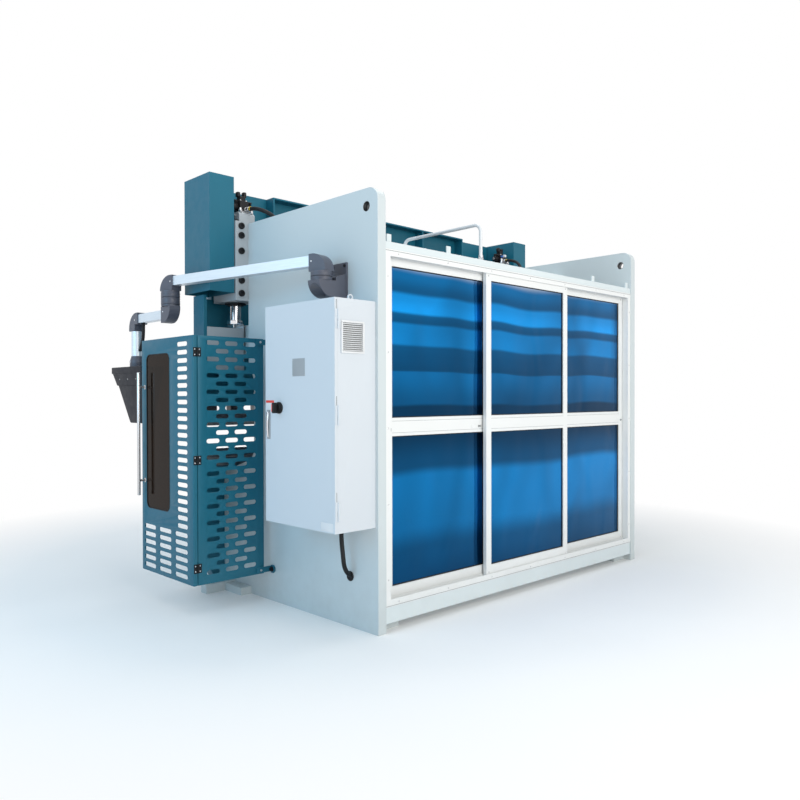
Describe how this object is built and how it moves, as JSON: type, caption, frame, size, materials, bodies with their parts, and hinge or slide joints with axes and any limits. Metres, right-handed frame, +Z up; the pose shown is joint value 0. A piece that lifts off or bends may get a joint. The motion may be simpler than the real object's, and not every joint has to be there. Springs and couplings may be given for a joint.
{
  "type": "hydraulic press brake",
  "caption": "Hydraulic press brake: a wide ram slides down onto a bed between two thick side plates, with sliding rear doors, side guards, a cabinet and a pendant console.",
  "frame": {"origin": "on the floor under the bending line, midway between the side plates, on the underside of the bed plate", "axes": "+X along the bending line to the machine's right, +Y to the rear, +Z up"},
  "size_m": [3.9784, 2.3399, 2.74],
  "materials": {
    "frame_paint": "satin pale grey paint",
    "ram_paint": "satin teal paint",
    "tool_steel": "ground steel",
    "chrome": "polished",
    "valve_black": "satin black",
    "fence_white": "white powder coat",
    "blue_film": "tinted reflective film",
    "cabinet_paint": "fine textured powder coat",
    "black_plastic": "matte",
    "brown_window": "tinted",
    "stainless": "satin",
    "elbow_grey": "satin dark grey",
    "arm_aluminium": "anodised",
    "console_grey": "fine textured dark grey"
  },
  "bodies": {
    "root": {"arm_bracket": "elbow_grey", "bed_plate": "ram_paint", "cabinet_body": "cabinet_paint", "cabinet_conduit": "black_plastic", "cabinet_vent": "cabinet_paint", "cylinder_block_left": "frame_paint", "cylinder_block_right": "frame_paint", "cylinder_covers": "ram_paint", "fence_frame": "fence_white", "frame_feet": "frame_paint", "gauge_rails": "ram_paint", "guard_brackets": "ram_paint", "guard_hinges": "black_plastic", "guard_rear_left": "ram_paint", "guard_rear_right": "ram_paint", "oil_tank": "frame_paint", "rear_beams": "frame_paint", "return_pipe": "frame_paint", "side_frame_left": "frame_paint", "side_frame_right": "frame_paint", "table_rail": "tool_steel", "valve_hoses": "black_plastic", "valves": "valve_black", "vee_die": "tool_steel"},
    "ram": {"ram_plate": "ram_paint", "ram_channel": "ram_paint", "ram_columns": "ram_paint", "push_blocks": "frame_paint", "piston_rods": "chrome", "punch_clamps": "tool_steel", "punch": "tool_steel"},
    "near_door": {"near_door_frame": "fence_white", "near_door_film": "blue_film"},
    "middle_door": {"middle_door_frame": "fence_white", "middle_door_film": "blue_film"},
    "far_door": {"far_door_frame": "fence_white", "far_door_film": "blue_film"},
    "right_guard_door": {"guard_door_right": "ram_paint", "guard_window_right": "brown_window", "guard_handle_right": "stainless", "guard_hinge_leaves_right": "black_plastic"},
    "left_guard_door": {"guard_door_left": "ram_paint", "guard_window_left": "brown_window", "guard_handle_left": "stainless", "guard_hinge_leaves_left": "black_plastic"},
    "cabinet_door_body": {"cabinet_door": "cabinet_paint", "cabinet_handle": "chrome"},
    "switch": {"main_switch": "black_plastic"},
    "arm_one": {"arm_elbow_one": "elbow_grey", "first_arm": "arm_aluminium", "arm_elbow_two": "elbow_grey"},
    "arm_two": {"arm_elbow_two_lower": "elbow_grey", "second_arm": "arm_aluminium", "arm_elbow_three": "elbow_grey", "drop_tube": "arm_aluminium", "console_cable": "black_plastic"},
    "console_body": {"console_neck": "elbow_grey", "console": "console_grey"},
    "back_gauge": {"gauge_beam": "ram_paint", "gauge_fingers": "tool_steel"}
  },
  "joints": [
    {"name": "ram_slide", "type": "slide", "parent": "root", "child": "ram", "axis": [0, 0, -1], "range_m": [0, 0.15]},
    {"name": "near_door_slide", "type": "slide", "parent": "root", "child": "near_door", "axis": [-1, 0, 0], "range_m": [0, 0.75]},
    {"name": "middle_door_slide", "type": "slide", "parent": "root", "child": "middle_door", "axis": [-1, 0, 0], "range_m": [-0.83, 0.83]},
    {"name": "far_door_slide", "type": "slide", "parent": "root", "child": "far_door", "axis": [-1, 0, 0], "range_m": [-0.75, 0]},
    {"name": "right_guard_hinge", "type": "hinge", "parent": "root", "child": "right_guard_door", "pos_m": [1.908, 0.6053, 0.9], "axis": [0, 0, -1], "range_deg": [-110, 0]},
    {"name": "left_guard_hinge", "type": "hinge", "parent": "root", "child": "left_guard_door", "pos_m": [-1.908, 0.6053, 0.9], "axis": [0, 0, 1], "range_deg": [-110, 0]},
    {"name": "cabinet_hinge", "type": "hinge", "parent": "root", "child": "cabinet_door_body", "pos_m": [1.65525, 1.6053, 1.2], "axis": [0, 0, -1], "range_deg": [-110, 0]},
    {"name": "switch_turn", "type": "hinge", "parent": "cabinet_door_body", "child": "switch", "pos_m": [1.69, 1.107, 1.241], "axis": [1, 0, 0], "range_deg": [0, 90]},
    {"name": "arm_one_swing", "type": "hinge", "parent": "root", "child": "arm_one", "pos_m": [1.535, 1.314, 2], "axis": [0, 0, 1], "range_deg": [0, 95]},
    {"name": "arm_two_swing", "type": "hinge", "parent": "arm_one", "child": "arm_two", "pos_m": [1.77519, 0.01807, 1.95], "axis": [0, 0, 1], "range_deg": [-45, 90]},
    {"name": "console_swivel", "type": "hinge", "parent": "arm_two", "child": "console_body", "pos_m": [1.77519, -0.47993, 1.55], "axis": [0, 0, 1], "range_deg": [-90, 90]},
    {"name": "gauge_slide", "type": "slide", "parent": "root", "child": "back_gauge", "axis": [0, 1, 0], "range_m": [-0.35, 0.25]}
  ]
}
